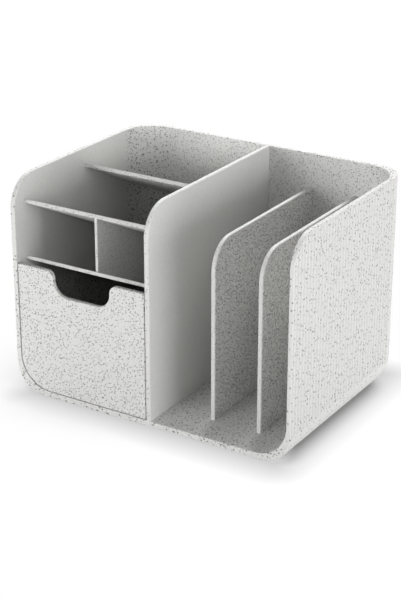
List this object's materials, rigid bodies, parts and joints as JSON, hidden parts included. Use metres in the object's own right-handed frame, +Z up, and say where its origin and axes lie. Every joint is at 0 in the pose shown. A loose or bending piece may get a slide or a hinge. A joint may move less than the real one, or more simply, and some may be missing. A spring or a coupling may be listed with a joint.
{
  "type": "desk organizer",
  "caption": "Speckled plastic desk organizer: open rounded tub with a finger-notch drawer and slanted cubbies on the left and an upright file sorter on the right.",
  "frame": {"origin": "on the table under the middle of the organizer, at the centre of its footprint", "axes": "+X to the right seen from the front, +Y to the back, +Z up; the drawer opens towards -Y"},
  "size_m": [0.226, 0.164, 0.162],
  "materials": {
    "shell_plastic": "moulded matt plastic, warm off-white with fine dark speckles",
    "panel_plastic": "moulded matt plastic, warm off-white with fine dark speckles",
    "drawer_plastic": "moulded matt plastic, warm off-white with fine dark speckles",
    "runner_plastic": "plain smooth white plastic",
    "foot_rubber": "matt translucent grey soft pads"
  },
  "bodies": {
    "organizer": {"outer_shell": "shell_plastic", "centre_wall": "panel_plastic", "file_divider_left": "panel_plastic", "file_divider_right": "panel_plastic", "lower_shelf": "panel_plastic", "middle_shelf": "panel_plastic", "upper_shelf": "panel_plastic", "cell_divider": "panel_plastic", "drawer_runner_left": "runner_plastic", "drawer_runner_right": "runner_plastic", "drawer_stop": "runner_plastic", "foot_front_left": "foot_rubber", "foot_front_right": "foot_rubber", "foot_rear_left": "foot_rubber", "foot_rear_right": "foot_rubber"},
    "drawer": {"drawer_front": "drawer_plastic", "drawer_tray": "drawer_plastic"}
  },
  "joints": [
    {"name": "drawer_slide", "type": "slide", "parent": "organizer", "child": "drawer", "axis": [0, -1, 0], "range_m": [0, 0.11]}
  ]
}
